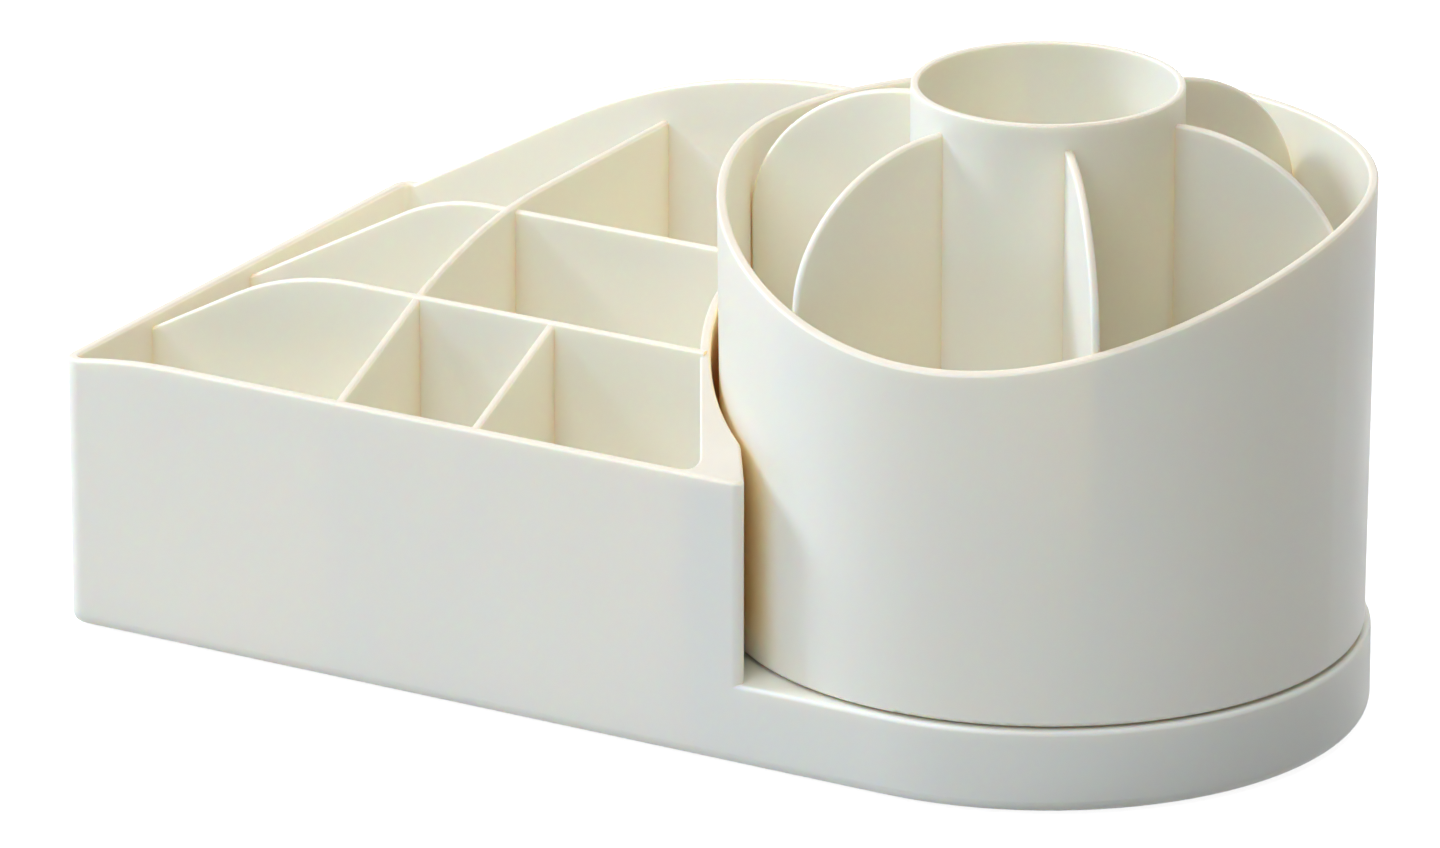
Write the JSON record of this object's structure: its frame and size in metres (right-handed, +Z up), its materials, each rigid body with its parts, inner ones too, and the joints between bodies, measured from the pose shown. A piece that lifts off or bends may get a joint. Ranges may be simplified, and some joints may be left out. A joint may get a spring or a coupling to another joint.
{
  "type": "rotating makeup organizer",
  "caption": "Open tray with stepped compartments, a round platform at one end and a turning cup on it with a centre tube and radial fins.",
  "frame": {"origin": "middle of the base's plan, on the table plane under the feet", "axes": "+X to the right, from the tray to the cup; +Y to the back, the tall side; +Z up"},
  "size_m": [0.3, 0.1534, 0.1515],
  "materials": {
    "tray_plastic": "satin ivory moulding",
    "cup_plastic": "satin ivory moulding",
    "insert_plastic": "satin ivory moulding",
    "cover_plastic": "fine matt texture",
    "foot_rubber": "matt",
    "bearing_plastic": "smooth natural plastic",
    "ball_steel": "polished",
    "screw_steel": "zinc plated",
    "washer_steel": "plain"
  },
  "bodies": {
    "base": {"base_tray": "tray_plastic", "base_cover": "cover_plastic", "cover_screws": "screw_steel", "foot_front_left": "foot_rubber", "foot_back_left": "foot_rubber", "foot_front_middle": "foot_rubber", "foot_back_middle": "foot_rubber", "foot_front_right": "foot_rubber", "foot_back_right": "foot_rubber", "pivot_bush": "bearing_plastic", "lower_track": "bearing_plastic"},
    "ball_ring": {"ball_cage": "bearing_plastic", "ball_01": "ball_steel", "ball_02": "ball_steel", "ball_03": "ball_steel", "ball_04": "ball_steel", "ball_05": "ball_steel", "ball_06": "ball_steel", "ball_07": "ball_steel", "ball_08": "ball_steel", "ball_09": "ball_steel", "ball_10": "ball_steel", "ball_11": "ball_steel", "ball_12": "ball_steel"},
    "cup": {"rotating_cup": "cup_plastic", "divider_insert": "insert_plastic", "upper_track": "bearing_plastic", "retaining_washer": "washer_steel", "pivot_screw": "screw_steel"}
  },
  "joints": [
    {"name": "cup_spin", "type": "hinge", "parent": "base", "child": "cup", "pos_m": [0.0733, 0, 0], "axis": [0, 0, 1], "continuous": true},
    {"name": "cage_spin", "type": "hinge", "parent": "base", "child": "ball_ring", "pos_m": [0.0733, 0, 0], "axis": [0, 0, 1], "continuous": true}
  ],
  "couplings": [
    {"joint": "cage_spin", "follows": "cup_spin", "ratio": 0.5}
  ]
}
